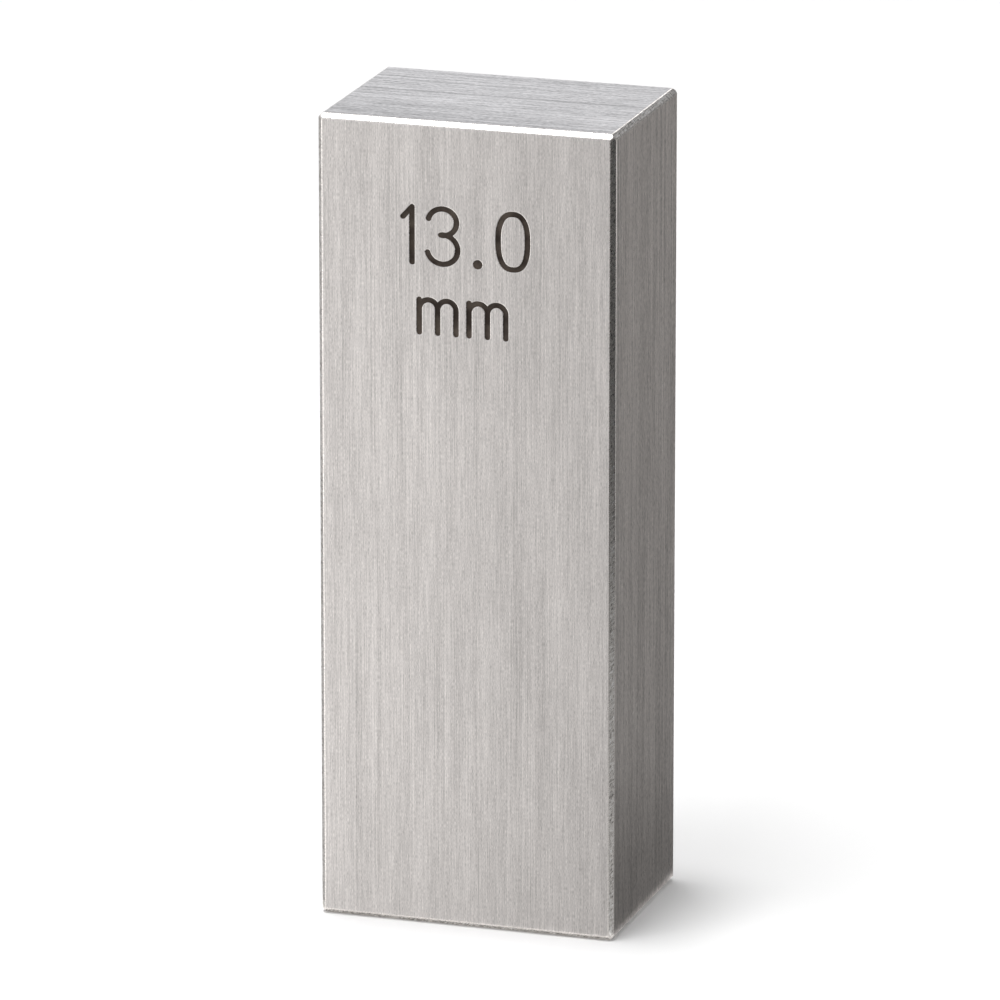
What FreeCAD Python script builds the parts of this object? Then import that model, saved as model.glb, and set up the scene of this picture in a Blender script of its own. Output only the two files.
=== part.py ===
import FreeCAD, Part
import os

# A rectangular gauge block of the larger standard section, ground and lapped
# from one piece of hardened steel.
#
# It stands on one narrow end of its section. The nominal length lies along X,
# between the two measuring faces, Y runs through the short side of the section
# and Z up its long side. The origin is the middle of the end that it stands on.
# All sizes are in millimetres.

NOMINAL_LENGTH = 13.0  # from one measuring face to the other
SECTION_LONG = 35.0  # long side of the section
SECTION_SHORT = 9.0  # short side of the section
EDGE_BREAK = 0.2  # leg of the 45 degree chamfer on every edge
BORDER_RADIUS = 0.1  # rounding that stoning leaves on each border of a chamfer

NODE = "gauge_block"

X = FreeCAD.Vector(1, 0, 0)
Y = FreeCAD.Vector(0, 1, 0)
Z = FreeCAD.Vector(0, 0, 1)
SAME_WAY = 1e-6  # two directions closer than this angle, in radians, are the same


def ground_blank():
    """The block with sharp edges: a measuring face carried along the nominal length."""
    near_foot = X * (-NOMINAL_LENGTH / 2) + Y * (-SECTION_SHORT / 2)
    far_foot = near_foot + Y * SECTION_SHORT
    rise = Z * SECTION_LONG
    outline = [near_foot, far_foot, far_foot + rise, near_foot + rise, near_foot]
    measuring_face = Part.Face(Part.makePolygon(outline))
    return measuring_face.extrude(X * NOMINAL_LENGTH)


def edges_along(shape, axis):
    """The straight edges of a shape that run parallel to an axis."""
    found = []
    for edge in shape.Edges:
        across = edge.tangentAt(edge.FirstParameter).cross(axis)
        if across.Length < SAME_WAY:
            found.append(edge)
    return found


def break_edges(blank):
    """Chamfer every edge, four parallel ones at a time, as they are ground.

    What is left is common to the three passes. Each chamfer runs right through
    to the end of its edge, so the three at a corner meet in mitres.
    """
    block = blank
    for axis in (X, Y, Z):
        one_pass = blank.makeChamfer(EDGE_BREAK, edges_along(blank, axis))
        block = block.common(one_pass)
    return block


def soften_borders(block):
    """Round each border of each chamfer, and the mitres between the chamfers.

    A keen border would raise a burr and scratch the face that is wrung to it, so
    it is stoned. The faces keep their plane right up to the rounding.
    """
    return block.makeFillet(BORDER_RADIUS, block.Edges)


def plane_face(shape, outward):
    """The flat face of a shape that looks the given way."""
    for face in shape.Faces:
        flat = face.Surface.TypeId == "Part::GeomPlane"
        if flat and face.normalAt(0, 0).getAngle(outward) < SAME_WAY:
            return face
    return None


def describe(block):
    """Print the sizes that a gauge block is inspected for."""
    left = plane_face(block, -X)
    right = plane_face(block, X)
    length = right.CenterOfMass.x - left.CenterOfMass.x
    print(f"solids {len(block.Solids)}, faces {len(block.Faces)}, valid {block.isValid()}")
    print(f"between the measuring faces {length:.6f} mm")
    print(f"flat of a measuring face {right.Area:.3f} mm2")
    print(f"volume {block.Volume:.3f} mm3")


def main():
    os.makedirs("parts", exist_ok=True)
    block = soften_borders(break_edges(ground_blank()))
    block.exportStep(f"parts/{NODE}.step")
    describe(block)


main()
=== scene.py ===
# %% [markdown]
# # A gauge block of ground and lapped steel
#
# A gauge block is the plainest precision tool there is: one bar of hardened steel whose
# two end faces of its short length are lapped so flat that two blocks cling together.
# There is nothing to assemble here, so nearly all of this lesson is about surface: how
# grinding, lapping, an oilstone and a laser each leave their own mark on the same steel.
#
# The construction model is loaded first, as a fixed frame. Every place and size below is
# measured from it, and its box is kept so that the finished block can be compared with it.

# %% Load the fixed frame
import math
import bmesh
import bpy
import numpy as np
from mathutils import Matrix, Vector


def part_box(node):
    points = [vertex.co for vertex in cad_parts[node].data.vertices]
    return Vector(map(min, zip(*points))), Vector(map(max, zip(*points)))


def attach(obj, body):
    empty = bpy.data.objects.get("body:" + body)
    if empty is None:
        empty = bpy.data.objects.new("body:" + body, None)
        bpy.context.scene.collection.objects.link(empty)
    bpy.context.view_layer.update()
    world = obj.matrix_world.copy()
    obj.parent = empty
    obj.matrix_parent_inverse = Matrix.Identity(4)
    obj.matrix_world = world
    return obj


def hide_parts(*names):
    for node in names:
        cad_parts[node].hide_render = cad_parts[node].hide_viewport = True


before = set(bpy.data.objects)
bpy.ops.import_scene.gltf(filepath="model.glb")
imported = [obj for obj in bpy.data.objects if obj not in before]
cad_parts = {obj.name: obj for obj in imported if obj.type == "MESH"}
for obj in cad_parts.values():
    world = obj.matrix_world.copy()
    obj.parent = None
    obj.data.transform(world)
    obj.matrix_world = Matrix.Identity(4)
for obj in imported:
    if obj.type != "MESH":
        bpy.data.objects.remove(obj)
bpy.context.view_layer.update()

MM = 0.001
NODE = "gauge_block"
cad_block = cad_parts[NODE]
low, high = (np.array(corner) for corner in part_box(NODE))
centre = (low + high) / 2
print("block, mm:", np.round((high - low) / MM, 3))


# %% [markdown]
# ## The camera
#
# The block is seen standing, a little from its right and a little from above, through a
# long lens, so that its edges stay almost parallel. A camera is placed here by two angles
# and a distance, the way a tripod is, and then aimed at the middle of the block.

# %% Place the camera
CAMERA_TURN = math.radians(17.86)
CAMERA_RISE = math.radians(15.91)
CAMERA_DISTANCE = 412.6 * MM
LENS_MM = 351.2
SENSOR_MM = 36.0
AIM = centre + np.array([0.06, 0.0, 0.11]) * MM


def from_angles(turn, rise):
    """Unit vector that leans `turn` to the right of the front and `rise` above level:
    (sin turn cos rise, -cos turn cos rise, sin rise)."""
    return np.array([math.sin(turn) * math.cos(rise), -math.cos(turn) * math.cos(rise), math.sin(rise)])


def look_along(thing, direction):
    """Turns a camera or lamp so that its own -Z axis points along `direction`."""
    thing.rotation_mode = "QUATERNION"
    thing.rotation_quaternion = Vector(direction).to_track_quat("-Z", "Y")


to_camera = from_angles(CAMERA_TURN, CAMERA_RISE)
camera_data = bpy.data.cameras.new("camera")
camera_data.lens = LENS_MM
camera_data.sensor_width = SENSOR_MM
camera_data.clip_start = 0.01
camera_data.clip_end = 100.0
camera = bpy.data.objects.new("camera", camera_data)
camera.location = AIM + to_camera * CAMERA_DISTANCE
look_along(camera, -to_camera)
bpy.context.scene.collection.objects.link(camera)
bpy.context.scene.camera = camera
print("camera at, mm:", np.round(np.array(camera.location) / MM, 1))


# %% [markdown]
# ## The marking: centre-lines first
#
# A laser writes the nominal size on one side. A laser or a ball cutter draws with a round
# tip of one width, so a figure is best described the way a draughtsman's lettering guide
# does it: by the line that the middle of the tip follows. Straight runs and arcs are
# enough for plain figures. Each line is an array of points in millimetres, x to the right
# from the middle of the face and z up from the foot of the block.

# %% Lines and arcs for lettering
ARC_STEPS = 28


def run(start, end, steps=6):
    """Straight line: start + t (end - start), with t from 0 to 1."""
    t = np.linspace(0.0, 1.0, steps + 1)[:, None]
    return np.array(start) + t * (np.array(end) - np.array(start))


def arc(middle, half_width, half_height, first, last, steps=ARC_STEPS):
    """Part of an ellipse: middle + (a cos t, b sin t), with t from first to last degrees."""
    t = np.radians(np.linspace(first, last, steps + 1))
    return np.array(middle) + np.stack([half_width * np.cos(t), half_height * np.sin(t)], axis=1)


def oval(middle, half_width, half_height, power=2.5, steps=96):
    """Closed oval with fuller corners than an ellipse: x = a |cos t|^(2/power) with the
    sign of cos t, and z the same with sin t."""
    t = np.linspace(0.0, 2 * np.pi, steps, endpoint=False)
    x = half_width * np.sign(np.cos(t)) * np.abs(np.cos(t)) ** (2 / power)
    z = half_height * np.sign(np.sin(t)) * np.abs(np.sin(t)) ** (2 / power)
    return np.array(middle) + np.stack([x, z], axis=1)


def joined(*lines):
    """One line out of several that meet end to end, with the shared points kept once."""
    return np.concatenate([lines[0]] + [line[1:] for line in lines[1:]])


# %% The figures and the unit
top_mm = high[2] / MM
DIGIT_HEIGHT = 2.37
DIGIT_BASE = top_mm - 6.07
UNIT_HEIGHT = 1.41
UNIT_BASE = top_mm - 9.06
UNIT_PITCH = 0.805


def figure_one(x):
    """A stem with a short flag that falls away to the left."""
    crown = (x, DIGIT_BASE + DIGIT_HEIGHT)
    return [run((x, DIGIT_BASE), crown), run((x - 0.40, DIGIT_BASE + 1.93), crown)]


def figure_three(x):
    """Two open bowls, the lower one larger, that meet at a short bar."""
    upper = arc((x, DIGIT_BASE + 1.80), 0.62, 0.57, 168, -90)
    lower = arc((x, DIGIT_BASE + 0.63), 0.67, 0.63, 90, -166)
    return [upper, lower, run((x - 0.07, DIGIT_BASE + 1.245), (x + 0.1, DIGIT_BASE + 1.245), 2)]


def letter_m(x):
    """A short leg and two arches, each running down into its own leg."""
    radius = UNIT_PITCH / 2
    spring = UNIT_BASE + UNIT_HEIGHT - radius
    strokes = [run((x, UNIT_BASE), (x, UNIT_BASE + UNIT_HEIGHT))]
    for left in (x, x + UNIT_PITCH):
        bow = arc((left + radius, spring), radius, radius, 180, 0, 18)
        strokes.append(joined(bow, run((left + UNIT_PITCH, spring), (left + UNIT_PITCH, UNIT_BASE))))
    return strokes


open_strokes = [*figure_one(-2.33), *figure_three(-1.0), *letter_m(-2.02), *letter_m(0.16)]
ring_strokes = [oval((2.075, DIGIT_BASE + DIGIT_HEIGHT / 2), 0.64, DIGIT_HEIGHT / 2)]
dots = [(0.54, DIGIT_BASE + 0.10)]
print("marking:", len(open_strokes), "open strokes,", len(ring_strokes), "ring,", len(dots), "dot")


# %% [markdown]
# ## The marking: cutters
#
# A mark that is only a dark picture on the steel looks pasted on, because it catches no
# light at its rim. So the strokes are real grooves, cut out of the block by Boolean
# modifiers. Each cutter is a surface of two parameters: one goes round the stroke's
# outline, and the other goes from its centre-line outwards, over the rounded floor of the
# groove, up its wall, over a tiny flared lip and back across a lid above the face.

# %% A groove's section
GROOVE_HALF = 0.117
GROOVE_DEEP = 0.040
LIP_WIDE = 0.022
LIP_DEEP = 0.010
LID_ABOVE = 0.08
FLOOR_STEPS = 7
CAP_STEPS = 11


def groove_section(half, deep):
    """Distances from the centre-line and depths below the face. The floor is part of an
    ellipse, depth = lip + (deep - lip) sqrt(1 - (r / half)^2), and the lip rises in a
    straight flare that goes on past the face."""
    a = np.linspace(0.0, np.pi / 2, FLOOR_STEPS + 1)
    r = half * np.sin(a)
    d = LIP_DEEP + (deep - LIP_DEEP) * np.cos(a)
    flare = LIP_WIDE / LIP_DEEP
    r = np.append(r, half + flare * (LIP_DEEP + LID_ABOVE))
    d = np.append(d, -LID_ABOVE)
    return r, d


def outline_of(line):
    """Base points on an open line and unit directions away from it, once round: along its
    left side, round its end, back along its right side and round its start."""
    ahead = np.gradient(line, axis=0)
    ahead /= np.linalg.norm(ahead, axis=1)[:, None]
    left = np.stack([-ahead[:, 1], ahead[:, 0]], axis=1)
    turn = np.linspace(0.0, np.pi, CAP_STEPS + 2)[1:-1, None]
    end_cap = np.cos(turn) * left[-1] + np.sin(turn) * ahead[-1]
    start_cap = -np.cos(turn) * left[0] - np.sin(turn) * ahead[0]
    at_end, at_start = np.repeat(line[-1:], CAP_STEPS, 0), np.repeat(line[:1], CAP_STEPS, 0)
    base = np.concatenate([line, at_end, line[::-1], at_start])
    out = np.concatenate([left, end_cap, -left[::-1], start_cap])
    return base, out


def circle_directions(steps=40):
    """Unit directions all the way round."""
    t = np.linspace(0.0, 2 * np.pi, steps, endpoint=False)
    return np.stack([np.cos(t), np.sin(t)], axis=1)


def quad_strip(rows, columns, wrap_rows):
    """Corner numbers of the quads of a grid that closes on itself along its columns, and
    also along its rows where wrap_rows is set."""
    i = np.arange(rows if wrap_rows else rows - 1)[:, None]
    j = np.arange(columns)[None, :]
    i_next = (i + 1) % rows
    j_next = (j + 1) % columns
    corners = [i * columns + j, i * columns + j_next, i_next * columns + j_next, i_next * columns + j]
    return np.stack([np.broadcast_to(c, (i.shape[0], columns)) for c in corners], axis=-1).reshape(-1, 4)


CUTTER_WELD = 1e-8


def mesh_from(name, points, quads):
    """New mesh with merged doubles and faces turned outwards."""
    mesh = bpy.data.meshes.new(name)
    mesh.from_pydata(points, [], quads.tolist())
    shape = bmesh.new()
    shape.from_mesh(mesh)
    bmesh.ops.remove_doubles(shape, verts=shape.verts, dist=CUTTER_WELD)
    bmesh.ops.dissolve_degenerate(shape, edges=shape.edges, dist=CUTTER_WELD)
    bmesh.ops.recalc_face_normals(shape, faces=shape.faces)
    shape.to_mesh(mesh)
    shape.free()
    return mesh


def on_face(flat, depth):
    """Points in metres on the marked face: x and z as drawn, and `depth` into the block."""
    return np.stack([flat[:, 0] * MM, low[1] + depth * MM, flat[:, 1] * MM], axis=1)


def pocket_cutter(name, base, out, half=GROOVE_HALF, deep=GROOVE_DEEP):
    """Closed cutter for a stroke with round ends: point = base + r out at depth d, for
    each (r, d) of the section, and back over a flat lid to the centre-line."""
    r, d = groove_section(half, deep)
    r = np.append(r, 0.0)
    d = np.append(d, -LID_ABOVE)
    rows = [on_face(base + ri * out, np.full(len(base), di)) for ri, di in zip(r, d)]
    return mesh_from(name, np.concatenate(rows), quad_strip(len(rows), len(base), False))


def ring_cutter(name, line, half=GROOVE_HALF, deep=GROOVE_DEEP):
    """Closed cutter for a stroke that runs into itself: the section, mirrored about the
    centre-line, is carried along the closed line."""
    r, d = groove_section(half, deep)
    r = np.concatenate([-r[:0:-1], r])
    d = np.concatenate([d[:0:-1], d])
    ahead = np.roll(line, -1, axis=0) - np.roll(line, 1, axis=0)
    ahead /= np.linalg.norm(ahead, axis=1)[:, None]
    left = np.stack([-ahead[:, 1], ahead[:, 0]], axis=1)
    rows = [on_face(line + ri * left, np.full(len(line), di)) for ri, di in zip(r, d)]
    return mesh_from(name, np.concatenate(rows), quad_strip(len(rows), len(line), True))


# %% Make the cutters
DEPTH_STEP = 0.0004
DOT_HALF = 0.205

# Strokes that meet differ a hair in depth, so that no two cutters share a surface.
cutters = []
for number, line in enumerate(open_strokes):
    deep = GROOVE_DEEP + DEPTH_STEP * number
    cutters.append(pocket_cutter(f"stroke_{number}", *outline_of(line), deep=deep))
for number, line in enumerate(ring_strokes):
    cutters.append(ring_cutter(f"ring_{number}", line))
for number, (x, z) in enumerate(dots):
    around = circle_directions()
    base = np.repeat(np.array([[x, z]]), len(around), axis=0)
    cutters.append(pocket_cutter(f"dot_{number}", base, around, half=DOT_HALF))
print("cutters:", len(cutters), "with", sum(len(mesh.polygons) for mesh in cutters), "faces")


# %% [markdown]
# ## The block itself
#
# The block's own shape is already right in the construction model, but a groove can't be
# cut into a piece of the frame. So its mesh is copied, the copy's loose triangles are
# merged and its flat sides made whole again, and the cutters are taken away from it.

# %% Copy the block and cut the marking
BLOCK_WELD = 2e-7
FLAT_BELOW = 1e-4


def merged_copy(source, name):
    """Copy of a loose-triangle mesh with doubles merged and flat areas made one face."""
    points = np.empty(len(source.vertices) * 3)
    source.vertices.foreach_get("co", points)
    corners = np.empty(len(source.loops), dtype=np.int64)
    source.loops.foreach_get("vertex_index", corners)
    mesh = bpy.data.meshes.new(name)
    mesh.from_pydata(points.reshape(-1, 3), [], corners.reshape(-1, 3).tolist())
    shape = bmesh.new()
    shape.from_mesh(mesh)
    bmesh.ops.remove_doubles(shape, verts=shape.verts, dist=BLOCK_WELD)
    flat_edges = [
        edge for edge in shape.edges
        if len(edge.link_faces) == 2 and edge.calc_face_angle() < FLAT_BELOW
    ]
    bmesh.ops.dissolve_edges(shape, edges=flat_edges, use_verts=False)
    shape.to_mesh(mesh)
    shape.free()
    return mesh


def new_object(name, mesh):
    """Object at the origin that shows a mesh."""
    thing = bpy.data.objects.new(name, mesh)
    bpy.context.scene.collection.objects.link(thing)
    return thing


def apply_modifiers(thing):
    """Replaces an object's mesh with what its modifiers make of it."""
    graph = bpy.context.evaluated_depsgraph_get()
    made = bpy.data.meshes.new_from_object(thing.evaluated_get(graph))
    thing.modifiers.clear()
    thing.data = made


block = new_object("gauge_block_ground", merged_copy(cad_block.data, "gauge_block_ground"))
print("copied block:", len(block.data.vertices), "points,", len(block.data.polygons), "faces")
for mesh in cutters:
    cutter = new_object(mesh.name, mesh)
    cut = block.modifiers.new(mesh.name, "BOOLEAN")
    cut.operation = "DIFFERENCE"
    cut.solver = "EXACT"
    cut.object = cutter
    apply_modifiers(block)
    bpy.data.objects.remove(cutter)
print("marked block:", len(block.data.vertices), "points,", len(block.data.polygons), "faces")


# %% [markdown]
# ## Which surface is which
#
# One bar of steel, but each side was finished by another tool. The two measuring faces
# are lapped, the broad sides and the ends are surface ground, the edges are broken with a
# stone, their little rounded borders are rubbed smooth, and the strokes are burnt dark by
# the laser. The direction that a face looks in tells which it is, so the materials are
# dealt out by the faces' normals, all at once.

# %% Sort the faces
SLOTS = ["ground_side", "lapped_face", "ground_end", "stoned_edge", "rubbed_border", "etched_mark"]
GROUND_SIDE, LAPPED_FACE, GROUND_END, STONED_EDGE, RUBBED_BORDER, ETCHED_MARK = range(len(SLOTS))
ALONG_AN_AXIS = 0.99999
AT_45_DEGREES = 0.707
EDGE_MARGIN = 0.4 * MM


def face_arrays(mesh):
    """Normals and middles of a mesh's faces."""
    normals = np.empty(len(mesh.polygons) * 3)
    middles = np.empty(len(mesh.polygons) * 3)
    mesh.polygons.foreach_get("normal", normals)
    mesh.polygons.foreach_get("center", middles)
    return normals.reshape(-1, 3), middles.reshape(-1, 3)


normals, middles = face_arrays(block.data)
kind = np.full(len(normals), RUBBED_BORDER)
flat = np.abs(normals) > ALONG_AN_AXIS
kind[flat[:, 1]] = GROUND_SIDE
kind[flat[:, 0]] = LAPPED_FACE
kind[flat[:, 2]] = GROUND_END
kind[np.sort(np.abs(normals), axis=1)[:, 1] > AT_45_DEGREES] = STONED_EDGE
depth = middles[:, 1] - low[1]
within = (middles > low + EDGE_MARGIN) & (middles < high - EDGE_MARGIN)
inside = within[:, 0] & within[:, 2]
in_groove = inside & (depth > 1e-7) & (depth < 2 * GROOVE_DEEP * MM)
kind[in_groove & (depth > 0.9 * LIP_DEEP * MM)] = ETCHED_MARK
block.data.polygons.foreach_set("material_index", kind.astype(np.int32))
for slot, name in enumerate(SLOTS):
    print(name, int(np.sum(kind == slot)), "faces")


# %% [markdown]
# ## A map that follows the grain
#
# Every finish on this block is made of lines, and the lines run along the block on its
# sides, across it on its ends and straight across the narrow edges. One UV map gives each
# face its own pair of distances in millimetres: u across the lines and v along them. The
# finishes then need only one way of drawing a line.

# %% Lay out the grain map
GRAIN_MAP = "grain"
SIDE_SHIFT = 40.0
HATCH_LEAN = np.array([0.7, 0.0, 0.7])
HATCH_SCALE = np.array([1.0, 0.25, 1.0])


def grain_coordinates(mesh):
    """u and v of every corner, in mm. On a flat face, v is the direction of its grinding
    (z on the sides, x on the ends) and u the other one. On an edge, u is the place along
    the edge and v the place across it, v = the difference of the two distances there. The
    edges along y were stoned square across and with a coarser grit."""
    corners = np.empty(len(mesh.loops), dtype=np.int64)
    mesh.loops.foreach_get("vertex_index", corners)
    points = np.empty(len(mesh.vertices) * 3)
    mesh.vertices.foreach_get("co", points)
    place = (points.reshape(-1, 3) - np.array([0, 0, low[2]]))[corners] / MM
    sizes = np.empty(len(mesh.polygons), dtype=np.int64)
    mesh.polygons.foreach_get("loop_total", sizes)
    normal = np.repeat(face_arrays(mesh)[0], sizes, axis=0)
    what = np.repeat(kind, sizes)
    x, y, z = place.T
    sign = np.sign(normal + 1e-9)
    u, v = x.copy(), z.copy()
    u = np.where(what == LAPPED_FACE, y, u)
    u = np.where(what == GROUND_END, y, u)
    v = np.where(what == GROUND_END, x, v)
    along = np.argmin(np.abs(normal), axis=1)
    edge = (what == STONED_EDGE) | (what == RUBBED_BORDER)
    span = place - centre / MM
    across = span * sign
    one, two = (along + 1) % 3, (along + 2) % 3
    row = np.arange(len(place))
    over = (across[row, one] - across[row, two]) * math.sqrt(0.5)
    u = np.where(edge, HATCH_SCALE[along] * (place[row, along] - HATCH_LEAN[along] * over), u)
    v = np.where(edge, over, v)
    side = np.argmax(np.abs(normal), axis=1)
    u = u + SIDE_SHIFT * (1 + side * 2 + (sign[row, side] > 0))
    return np.stack([u, v], axis=1)


grain = grain_coordinates(block.data)
layer = block.data.uv_layers.new(name=GRAIN_MAP)
layer.data.foreach_set("uv", grain.ravel())
print("grain map, mm:", np.round(grain.min(axis=0), 1), "to", np.round(grain.max(axis=0), 1))


# %% [markdown]
# ## Node helpers
#
# Shader nodes are written here as short calls, so that a material reads like a recipe.

# %% Small builders for shader nodes
def new_group(name, inputs, outputs):
    """Empty shader node group with named float or vector sockets."""
    group = bpy.data.node_groups.new(name, "ShaderNodeTree")
    for label, socket_kind, value in inputs:
        socket = group.interface.new_socket(label, in_out="INPUT", socket_type=socket_kind)
        if value is not None:
            socket.default_value = value
    for label, socket_kind in outputs:
        group.interface.new_socket(label, in_out="OUTPUT", socket_type=socket_kind)
    return group, group.nodes.new("NodeGroupInput"), group.nodes.new("NodeGroupOutput")


def put(tree, value, socket):
    """Links a socket to `value`, or sets it if value is a plain number or colour."""
    if isinstance(value, bpy.types.NodeSocket):
        tree.links.new(value, socket)
    elif value is not None:
        socket.default_value = value


def maths(tree, operation, a, b=None, c=None):
    """One Math node, and its result."""
    node = tree.nodes.new("ShaderNodeMath")
    node.operation = operation
    for socket, value in zip(node.inputs, (a, b, c)):
        put(tree, value, socket)
    return node.outputs[0]


def fit(tree, value, from_low, from_high, to_low=0.0, to_high=1.0, smooth=False):
    """Map Range: stretches one span of values over another, and holds it there."""
    node = tree.nodes.new("ShaderNodeMapRange")
    node.interpolation_type = "SMOOTHSTEP" if smooth else "LINEAR"
    for socket, item in zip(node.inputs, (value, from_low, from_high, to_low, to_high)):
        put(tree, item, socket)
    return node.outputs[0]


def mixed(tree, share, a, b):
    """Colour a where share is 0 and colour b where it is 1."""
    node = tree.nodes.new("ShaderNodeMix")
    node.data_type = "RGBA"
    put(tree, share, node.inputs["Factor"])
    put(tree, a, node.inputs[6])
    put(tree, b, node.inputs[7])
    return node.outputs[2]


def placed(tree, group, **values):
    """Puts a node group into a material with its own values. An underscore in a name
    stands for a space."""
    node = tree.nodes.new("ShaderNodeGroup")
    node.node_tree = group
    for label, value in values.items():
        put(tree, value, node.inputs[label.replace("_", " ")])
    return node


# %% [markdown]
# ## Grinding marks as a node group
#
# A grinding wheel or a brush leaves thousands of parallel scratches of all lengths. The
# usual picture of that is noise stretched a long way in one direction. One layer of noise
# looks like wood, though: real grain is short fine dashes, longer soft bands, runs as long
# as the face and a few lone lines. So the group adds layers of different width and length,
# and gives out their tone, the lone lines as masks, and a height for the bump.

# %% Build the grain groups
def streak_layer():
    """Noise stretched into streaks of one width and length, centred on zero."""
    inputs = [
        ("Vector", "NodeSocketVector", None),
        ("Width", "NodeSocketFloat", 0.05),
        ("Length", "NodeSocketFloat", 1.0),
        ("Seed", "NodeSocketFloat", 0.0),
        ("Detail", "NodeSocketFloat", 1.0),
    ]
    group, start, end = new_group("streaks", inputs, [("Value", "NodeSocketFloat")])
    apart = group.nodes.new("ShaderNodeSeparateXYZ")
    group.links.new(start.outputs["Vector"], apart.inputs[0])
    together = group.nodes.new("ShaderNodeCombineXYZ")
    put(group, maths(group, "DIVIDE", apart.outputs["X"], start.outputs["Width"]), together.inputs["X"])
    put(group, maths(group, "DIVIDE", apart.outputs["Y"], start.outputs["Length"]), together.inputs["Y"])
    put(group, maths(group, "MULTIPLY", start.outputs["Seed"], 7.31), together.inputs["Z"])
    noise = group.nodes.new("ShaderNodeTexNoise")
    noise.noise_dimensions = "3D"
    noise.inputs["Scale"].default_value = 1.0
    put(group, start.outputs["Detail"], noise.inputs["Detail"])
    put(group, together.outputs[0], noise.inputs["Vector"])
    put(group, maths(group, "SUBTRACT", noise.outputs[0], 0.5), end.inputs["Value"])
    return group


def grinding_marks(streaks):
    """Layers of streaks added up: fine dashes, longer bands, runs that go on for most of
    the face and a broad tone. Lone lines come from a layer cut off high up, so that only
    its peaks are left."""
    inputs = [
        ("Vector", "NodeSocketVector", None),
        ("Width", "NodeSocketFloat", 0.05),
        ("Length", "NodeSocketFloat", 0.7),
        ("Bands", "NodeSocketFloat", 1.0),
        ("Runs", "NodeSocketFloat", 1.0),
        ("Broad", "NodeSocketFloat", 0.3),
        ("Lines", "NodeSocketFloat", 0.7),
        ("Seed", "NodeSocketFloat", 0.0),
    ]
    outputs = [("Tone", "NodeSocketFloat"), ("Dark Lines", "NodeSocketFloat"),
               ("Bright Lines", "NodeSocketFloat"), ("Height", "NodeSocketFloat")]
    group, start, end = new_group("grinding_marks", inputs, outputs)
    vector, width, length = (start.outputs[label] for label in ("Vector", "Width", "Length"))
    seed = start.outputs["Seed"]

    def layer(wider, longer, offset, detail=1.0):
        node = placed(group, streaks, Vector=vector, Detail=detail)
        put(group, maths(group, "MULTIPLY", width, wider), node.inputs["Width"])
        put(group, maths(group, "MULTIPLY", length, longer), node.inputs["Length"])
        put(group, maths(group, "ADD", seed, offset), node.inputs["Seed"])
        return node.outputs[0]

    fine = layer(1.0, 1.0, 0.0)
    bands = maths(group, "MULTIPLY", layer(1.4, 5.0, 1.7), start.outputs["Bands"])
    runs = maths(group, "MULTIPLY", layer(1.2, 110.0, 2.3), start.outputs["Runs"])
    broad = maths(group, "MULTIPLY", layer(40.0, 60.0, 3.1), start.outputs["Broad"])
    relief = maths(group, "ADD", maths(group, "ADD", fine, bands), runs)
    put(group, maths(group, "ADD", relief, broad), end.inputs["Tone"])
    lines = start.outputs["Lines"]
    dark = fit(group, layer(3.0, 45.0, 5.3), 0.17, 0.27)
    bright = fit(group, layer(2.2, 40.0, 8.9), 0.20, 0.32)
    put(group, maths(group, "MULTIPLY", dark, lines), end.inputs["Dark Lines"])
    put(group, maths(group, "MULTIPLY", bright, lines), end.inputs["Bright Lines"])
    put(group, maths(group, "SUBTRACT", relief, dark), end.inputs["Height"])
    return group


STREAKS = streak_layer()
GRINDING = grinding_marks(STREAKS)
print("node groups:", [group.name for group in bpy.data.node_groups])


# %% [markdown]
# ## The steel finishes
#
# All five finishes are bare steel: fully metallic, with a warm grey colour. The lapped
# faces are a little darker and warmer, which is partly painted shade of the side turned
# from the light, and the ends a little cooler, which is partly a painted reflection of the
# cool sky; the stoned edges are lighter. Beyond that, what differs is the grain's direction
# and scale, how rough it is and how deep its scratches are. The tone of the grain moves the
# colour, the roughness and the height together, because on the real surface they are one
# thing. The stoned edges get two sets of strokes that cross, since a stone in the hand goes
# to and fro. Their borders get hardly any.

# %% Steel
STEEL = (0.63, 0.597, 0.576)
# Partly painted shade: the lapped faces' grey is darker and warmer than STEEL, set to match the side
# that is turned from the light.
LAPPED_GREY_AND_SHADE = (0.58, 0.536, 0.507)
# Partly a painted reflection: the ends' grey is cooler than STEEL, standing in for the cool sky that the
# top mirrors.
END_GREY_AND_SKY_TINT = (0.61, 0.592, 0.587)
STONED = (0.74, 0.705, 0.672)
CROSS_ANGLE = math.radians(75)
DARK_LINE = 0.62
BRIGHT_LINE = 1.35
ROUGHNESS_SWING = 0.06
TONE_LOW, TONE_HIGH = -0.5, 0.5


def new_material(name):
    """Material with a grain map reader, and the Principled shader it ends in."""
    material = bpy.data.materials.new(name)
    material.use_nodes = True
    tree = material.node_tree
    reader = tree.nodes.new("ShaderNodeUVMap")
    reader.uv_map = GRAIN_MAP
    return material, tree, tree.nodes["Principled BSDF"], reader.outputs[0]


def scaled(colour, factor):
    """A colour times a number, with full alpha."""
    return (colour[0] * factor, colour[1] * factor, colour[2] * factor, 1.0)


def turned(tree, vector, angle):
    """Grain map turned about its own origin, for strokes that cross the others."""
    node = tree.nodes.new("ShaderNodeVectorRotate")
    node.rotation_type = "Z_AXIS"
    put(tree, vector, node.inputs["Vector"])
    node.inputs["Angle"].default_value = angle
    return node.outputs[0]


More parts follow.
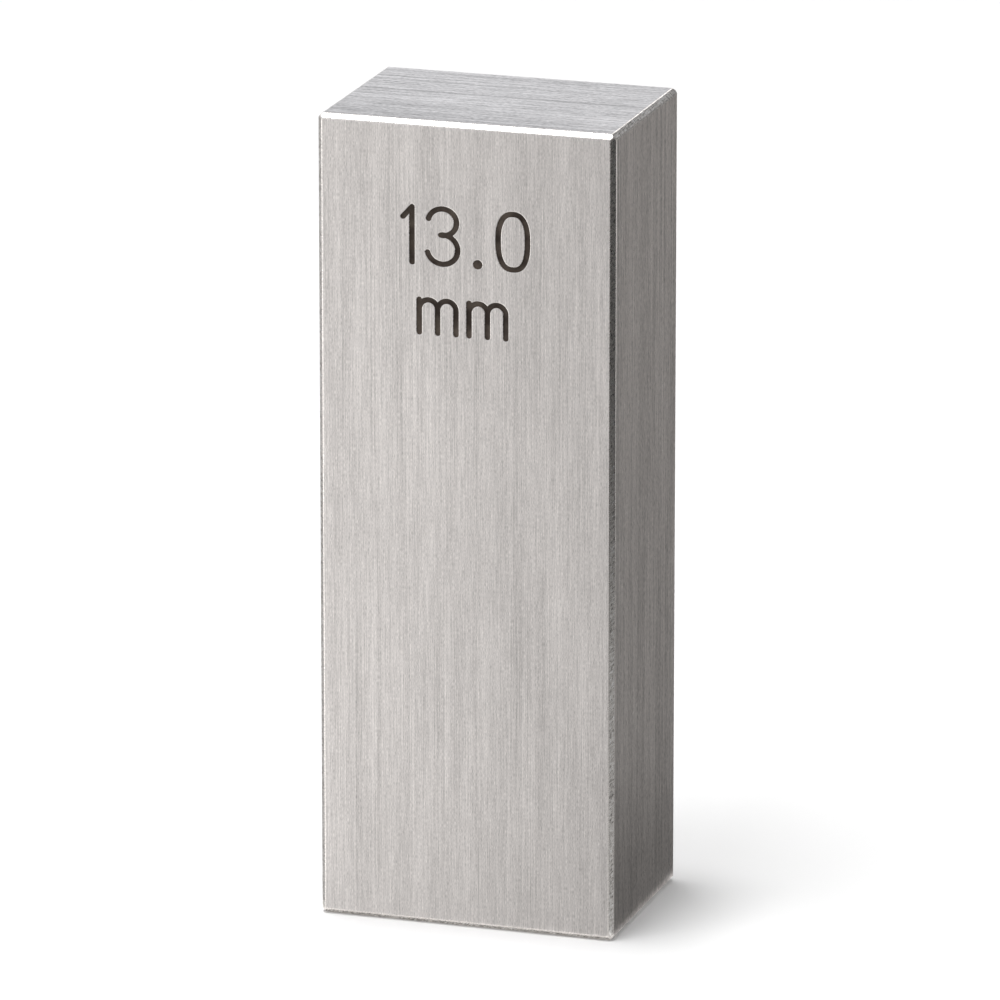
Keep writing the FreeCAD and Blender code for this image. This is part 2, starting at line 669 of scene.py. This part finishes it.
def ground_steel(name, colour, roughness, contrast, bump, crossing=0.0, **grain_values):
    """Bare steel with grinding marks that move its colour by up to `contrast`, its
    roughness, and its height by `bump` mm. With `crossing` above 0, a second set of short
    strokes is laid across the first."""
    material, tree, shader, vector = new_material(name)
    marks = placed(tree, GRINDING, Vector=vector, **grain_values)
    tone = marks.outputs["Tone"]
    if crossing:
        strokes = placed(tree, STREAKS, Vector=turned(tree, vector, CROSS_ANGLE), Width=0.025,
                         Length=0.15, Seed=4.0, Detail=1.0)
        tone = maths(tree, "MULTIPLY_ADD", strokes.outputs["Value"], crossing, tone)
    share = fit(tree, tone, TONE_LOW, TONE_HIGH)
    base = mixed(tree, share, scaled(colour, 1 - contrast), scaled(colour, 1 + contrast))
    lined = mixed(tree, marks.outputs["Dark Lines"], base, scaled(colour, DARK_LINE))
    lined = mixed(tree, marks.outputs["Bright Lines"], lined, scaled(colour, BRIGHT_LINE))
    put(tree, lined, shader.inputs["Base Color"])
    dull, shiny = roughness + ROUGHNESS_SWING, roughness - ROUGHNESS_SWING
    put(tree, fit(tree, tone, TONE_LOW, TONE_HIGH, dull, shiny), shader.inputs["Roughness"])
    shader.inputs["Metallic"].default_value = 1.0
    node = tree.nodes.new("ShaderNodeBump")
    node.inputs["Strength"].default_value = 1.0
    node.inputs["Distance"].default_value = bump * MM
    put(tree, marks.outputs["Height"], node.inputs["Height"])
    put(tree, node.outputs[0], shader.inputs["Normal"])
    return material


ETCH_SCALE = 1.1 / MM
ETCH_LOW, ETCH_HIGH = 0.38, 0.64
ETCH_DARK = (0.030, 0.019, 0.013, 1)
ETCH_LIGHT = (0.105, 0.080, 0.062, 1)


def etched_mark():
    """Oxide burnt into the strokes: dark brown, dull, and lighter where the beam passed
    less often."""
    material, tree, shader, _ = new_material("etched_mark")
    place = tree.nodes.new("ShaderNodeTexCoord")
    patches = tree.nodes.new("ShaderNodeTexNoise")
    patches.inputs["Scale"].default_value = ETCH_SCALE
    patches.inputs["Detail"].default_value = 3.0
    put(tree, place.outputs["Object"], patches.inputs["Vector"])
    share = fit(tree, patches.outputs[0], ETCH_LOW, ETCH_HIGH)
    put(tree, mixed(tree, share, ETCH_DARK, ETCH_LIGHT), shader.inputs["Base Color"])
    shader.inputs["Specular IOR Level"].default_value = 0.25
    put(tree, fit(tree, patches.outputs[0], ETCH_LOW, ETCH_HIGH, 0.6, 0.42), shader.inputs["Roughness"])
    return material


materials = {
    "ground_side": ground_steel(
        "ground_side", STEEL, roughness=0.34, contrast=0.52, bump=0.0002,
        Width=0.014, Length=0.15, Bands=0.7, Runs=0.65, Lines=0.6),
    "lapped_face": ground_steel(
        "lapped_face", LAPPED_GREY_AND_SHADE, roughness=0.32, contrast=0.64, bump=0.0002,
        Width=0.042, Length=0.2, Bands=0.7, Runs=0.9, Lines=0.4, Seed=3.0),
    "ground_end": ground_steel(
        "ground_end", END_GREY_AND_SKY_TINT, roughness=0.32, contrast=0.80, bump=0.0003,
        Width=0.036, Length=0.2, Bands=0.8, Runs=1.2, Broad=0.5, Lines=0.9, Seed=6.0),
    "stoned_edge": ground_steel(
        "stoned_edge", STONED, roughness=0.30, contrast=1.0, bump=0.001, crossing=1.4,
        Width=0.03, Length=0.2, Bands=0.6, Runs=0.2, Lines=0.3, Seed=9.0),
    "rubbed_border": ground_steel(
        "rubbed_border", STONED, roughness=0.28, contrast=0.25, bump=0.0001,
        Width=0.03, Length=0.3, Lines=0.2, Seed=12.0),
    "etched_mark": etched_mark(),
}
for name in SLOTS:
    block.data.materials.append(materials[name])
print("materials:", ", ".join(material.name for material in block.data.materials))


# %% [markdown]
# ## Smooth borders, flat faces
#
# The flat faces must stay flat right up to the little rounded borders, and the borders
# must look round. Smooth shading alone would bend the light on both. Normals weighted by
# face area fix that: at a shared corner the large flat face wins.

# %% Shade the block
SHARP_ABOVE = math.radians(20)
block.data.polygons.foreach_set("use_smooth", np.ones(len(block.data.polygons), dtype=bool))
block.data.set_sharp_from_angle(angle=SHARP_ABOVE)
weighted = block.modifiers.new("weighted", "WEIGHTED_NORMAL")
weighted.keep_sharp = True
apply_modifiers(block)
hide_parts(NODE)
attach(block, "root")
print("block faces:", len(block.data.polygons))


# %% [markdown]
# ## The floor
#
# The block stands on a plain pale floor that is much larger than the picture. The floor
# has a faint light of its own, which only the camera and reflections see. With what the
# lamps give, it comes out as white as paper, while the block's shadow on it stays.

# %% Floor
FLOOR_HALF = 3.0
FLOOR_SEEN = 0.12
FLOOR_MIRRORED = 0.16


def floor_material():
    """Pale matt floor that still keeps the shadow, and looks white where it is lit."""
    material = bpy.data.materials.new("studio_floor")
    material.use_nodes = True
    tree = material.node_tree
    shader = tree.nodes["Principled BSDF"]
    shader.inputs["Base Color"].default_value = (0.88, 0.88, 0.88, 1)
    shader.inputs["Roughness"].default_value = 0.7
    shader.inputs["Specular IOR Level"].default_value = 0.2
    path = tree.nodes.new("ShaderNodeLightPath")
    seen = maths(tree, "MULTIPLY", path.outputs["Is Camera Ray"], FLOOR_SEEN)
    mirrored = maths(tree, "MULTIPLY", path.outputs["Is Glossy Ray"], FLOOR_MIRRORED)
    put(tree, maths(tree, "ADD", seen, mirrored), shader.inputs["Emission Strength"])
    shader.inputs["Emission Color"].default_value = (1, 1, 1, 1)
    return material


def flat_sheet(name, corners, material):
    """One flat face through corners given in mm, as part of the stage."""
    mesh = bpy.data.meshes.new(name)
    mesh.from_pydata([tuple(value * MM for value in corner) for corner in corners], [],
                     [tuple(range(len(corners)))])
    mesh.materials.append(material)
    thing = new_object(name, mesh)
    return thing


def on_floor(outline, height=0.0):
    """Corners of an outline of (x, y) points that lies on the floor, or just above it."""
    return [(x, y, low[2] / MM + height) for x, y in outline]


half = FLOOR_HALF / MM
floor = flat_sheet("floor", on_floor([(-half, -half), (half, -half), (half, half), (-half, half)]),
                   floor_material())


# %% [markdown]
# ## Cards that only the steel sees
#
# Polished metal shows the room more than itself, so a product photographer lays white,
# grey and black cards round it, just outside the picture. Each face of the block mirrors
# one patch of floor: the marked side the one in front, the lapped face the one behind, and
# the edges between them the ones to the left and right. A card on each patch sets the tone
# of that face alone. The front card is graded from side to side, which gives the marked
# side its slow fall from left to right, at any height and however blurred. Behind the
# block stand two more: a dark one along the horizon, for the far border of the lapped
# face, and a bright one above it, for the fine line along the top's right border.

# %% Cards
CARD_HEIGHT = 0.2
ACROSS = np.array([math.cos(CAMERA_TURN), -math.sin(CAMERA_TURN)])


def only_for_reflections(thing):
    """Hides an object from everything but glossy rays."""
    thing.visible_camera = False
    thing.visible_diffuse = False
    thing.visible_shadow = False
    thing.visible_transmission = False
    thing.visible_volume_scatter = False


def glowing(name):
    """Black material that only gives off light, its tree and its shader."""
    material = bpy.data.materials.new(name)
    material.use_nodes = True
    shader = material.node_tree.nodes["Principled BSDF"]
    shader.inputs["Base Color"].default_value = (0, 0, 0, 1)
    shader.inputs["Specular IOR Level"].default_value = 0.0
    shader.inputs["Emission Color"].default_value = (1, 1, 1, 1)
    return material, material.node_tree, shader


def card(name, corners, left, right, foot=1.0, fade=(6, 30)):
    """Sheet that only reflections see. `left` and `right` are pairs of a place in mm,
    measured across the line of sight, and the level there, and the level runs evenly from
    one to the other. `foot` is its factor near the block, and it has risen to 1 where the
    distance from the middle has gone through the two values of `fade`, in mm."""
    material, tree, shader = glowing(name)
    place = tree.nodes.new("ShaderNodeTexCoord")
    along = tree.nodes.new("ShaderNodeVectorMath")
    along.operation = "DOT_PRODUCT"
    put(tree, place.outputs["Object"], along.inputs[0])
    along.inputs[1].default_value = (*ACROSS, 0.0)
    level = fit(tree, along.outputs["Value"], left[0] * MM, right[0] * MM, left[1], right[1])
    reach = tree.nodes.new("ShaderNodeVectorMath")
    reach.operation = "LENGTH"
    put(tree, place.outputs["Object"], reach.inputs[0])
    factor = fit(tree, reach.outputs["Value"], fade[0] * MM, fade[1] * MM, foot, 1.0, smooth=True)
    put(tree, maths(tree, "MULTIPLY", level, factor), shader.inputs["Emission Strength"])
    thing = flat_sheet(name, corners, material)
    only_for_reflections(thing)
    return thing


FRONT_PATCH = [(-420, -700), (60, -700), (60, -60), (6.9, -4.7), (-6.9, -4.7)]
LEFT_PATCH = [(-7.1, -4.7), (-260, -50), (-250, -160), (-170, -230)]
BACK_LEFT_PATCH = [(-7.1, 4.7), (-7.1, -4.7), (-260, -50), (-300, 500), (-60, 500)]
RIGHT_PATCH = [(6.9, -4.7), (60, -60), (60, 25), (6.7, -4.0)]
FAR_RIGHT_PATCH = [(60, -230), (330, -230), (330, 40), (60, 25)]
BACK_PATCH = [(6.7, -4.0), (6.7, 4.7), (-30, 500), (240, 500), (60, 25)]
HORIZON = [(-20, 500, 0), (420, 500, 0), (420, 500, 85), (-20, 500, 85)]
BACK_LIGHT = [(-80, 500, 170), (60, 500, 170), (60, 500, 300), (-80, 500, 300)]

card("card_front", on_floor(FRONT_PATCH, CARD_HEIGHT), (-32, 1.66), (44, 0.0), foot=0.88)
card("card_left", on_floor(LEFT_PATCH, CARD_HEIGHT), (-60, 1.7), (0, 1.7))
card("card_back_left", on_floor(BACK_LEFT_PATCH, CARD_HEIGHT), (-60, 0.50), (0, 0.50))
card("card_right", on_floor(RIGHT_PATCH, CARD_HEIGHT), (0, 0.46), (60, 0.38), foot=1.0, fade=(6, 20))
card("card_far_right", on_floor(FAR_RIGHT_PATCH, CARD_HEIGHT), (0, 0.0), (60, 0.0))
card("card_behind", on_floor(BACK_PATCH, CARD_HEIGHT), (-20, 0.30), (60, 0.30), foot=0.60, fade=(7, 30))
card("card_horizon", HORIZON, (0, 0.10), (60, 0.10))
card("card_back_light", BACK_LIGHT, (-60, 2.2), (0, 2.2))


# %% [markdown]
# ## Lamps, sky and dome
#
# Two soft lamps hang overhead, one straight above and a larger one to the left and in
# front of it. Light that comes from so high throws a short shadow that is dark at the foot
# and soon gone. The larger lamp also blows out the front edge of the top. The world adds a
# little light from everywhere and is white to the camera. What the steel mirrors above the
# floor is a dome of its own, bright on the left and falling off to the right, which lights
# nothing else.

# %% Lamps
LAMP_DISTANCE = 900.0


def soft_lamp(name, direction, side, power):
    """Square lamp of the given side in mm, hung in a direction from the block."""
    data = bpy.data.lights.new(name, "AREA")
    data.shape = "SQUARE"
    data.size = side * MM
    data.energy = power
    lamp = bpy.data.objects.new(name, data)
    toward = np.array(direction) / np.linalg.norm(direction)
    lamp.location = centre + toward * LAMP_DISTANCE * MM
    look_along(lamp, -toward)
    bpy.context.scene.collection.objects.link(lamp)
    return lamp


soft_lamp("overhead", (-0.05, 0.02, 0.93), side=150, power=4.7)
soft_lamp("key", (-0.14, -0.27, 0.93), side=350, power=3.4)


# %% Sky and dome
WORLD_LIT = 0.18
WORLD_SEEN = 1.1
DOME_RADIUS = 2500.0
DOME = [(-1.00, (0.88, 0.895, 0.925)), (-0.34, (0.88, 0.895, 0.925)), (0.10, (0.44, 0.45, 0.465)),
        (0.30, (0.34, 0.34, 0.345)), (1.00, (0.22, 0.22, 0.22))]


def plain_world():
    """World with one level for the camera and another for everything it lights."""
    world = bpy.data.worlds.new("studio_sky")
    world.use_nodes = True
    tree = world.node_tree
    path = tree.nodes.new("ShaderNodeLightPath")
    level = fit(tree, path.outputs["Is Camera Ray"], 0.0, 1.0, WORLD_LIT, WORLD_SEEN)
    tree.nodes["Background"].inputs["Color"].default_value = (1, 1, 1, 1)
    put(tree, level, tree.nodes["Background"].inputs["Strength"])
    bpy.context.scene.world = world


def colour_ramp(tree, value, stops, from_low, from_high):
    """Colour that runs through stops of (value, colour), for values in the given span."""
    node = tree.nodes.new("ShaderNodeValToRGB")
    ramp = node.color_ramp
    while len(ramp.elements) < len(stops):
        ramp.elements.new(1.0)
    for element, (at, colour) in zip(ramp.elements, stops):
        element.position = (at - from_low) / (from_high - from_low)
        element.color = (*colour, 1.0)
    put(tree, fit(tree, value, from_low, from_high), node.inputs["Fac"])
    return node.outputs["Color"]


def dome(radius, stops):
    """Ball of light round the stage, its colour set by how far to the right it is."""
    material, tree, shader = glowing("dome")
    place = tree.nodes.new("ShaderNodeTexCoord")
    apart = tree.nodes.new("ShaderNodeSeparateXYZ")
    put(tree, place.outputs["Object"], apart.inputs[0])
    sideways = maths(tree, "DIVIDE", apart.outputs["X"], radius * MM)
    put(tree, colour_ramp(tree, sideways, stops, -1.0, 1.0), shader.inputs["Emission Color"])
    shader.inputs["Emission Strength"].default_value = 1.0
    shape = bmesh.new()
    bmesh.ops.create_icosphere(shape, subdivisions=4, radius=radius * MM)
    bmesh.ops.reverse_faces(shape, faces=shape.faces)
    mesh = bpy.data.meshes.new("dome")
    shape.to_mesh(mesh)
    shape.free()
    mesh.materials.append(material)
    thing = new_object("dome", mesh)
    only_for_reflections(thing)
    return thing


plain_world()
dome(DOME_RADIUS, DOME)
bpy.context.scene.view_settings.view_transform = "Standard"
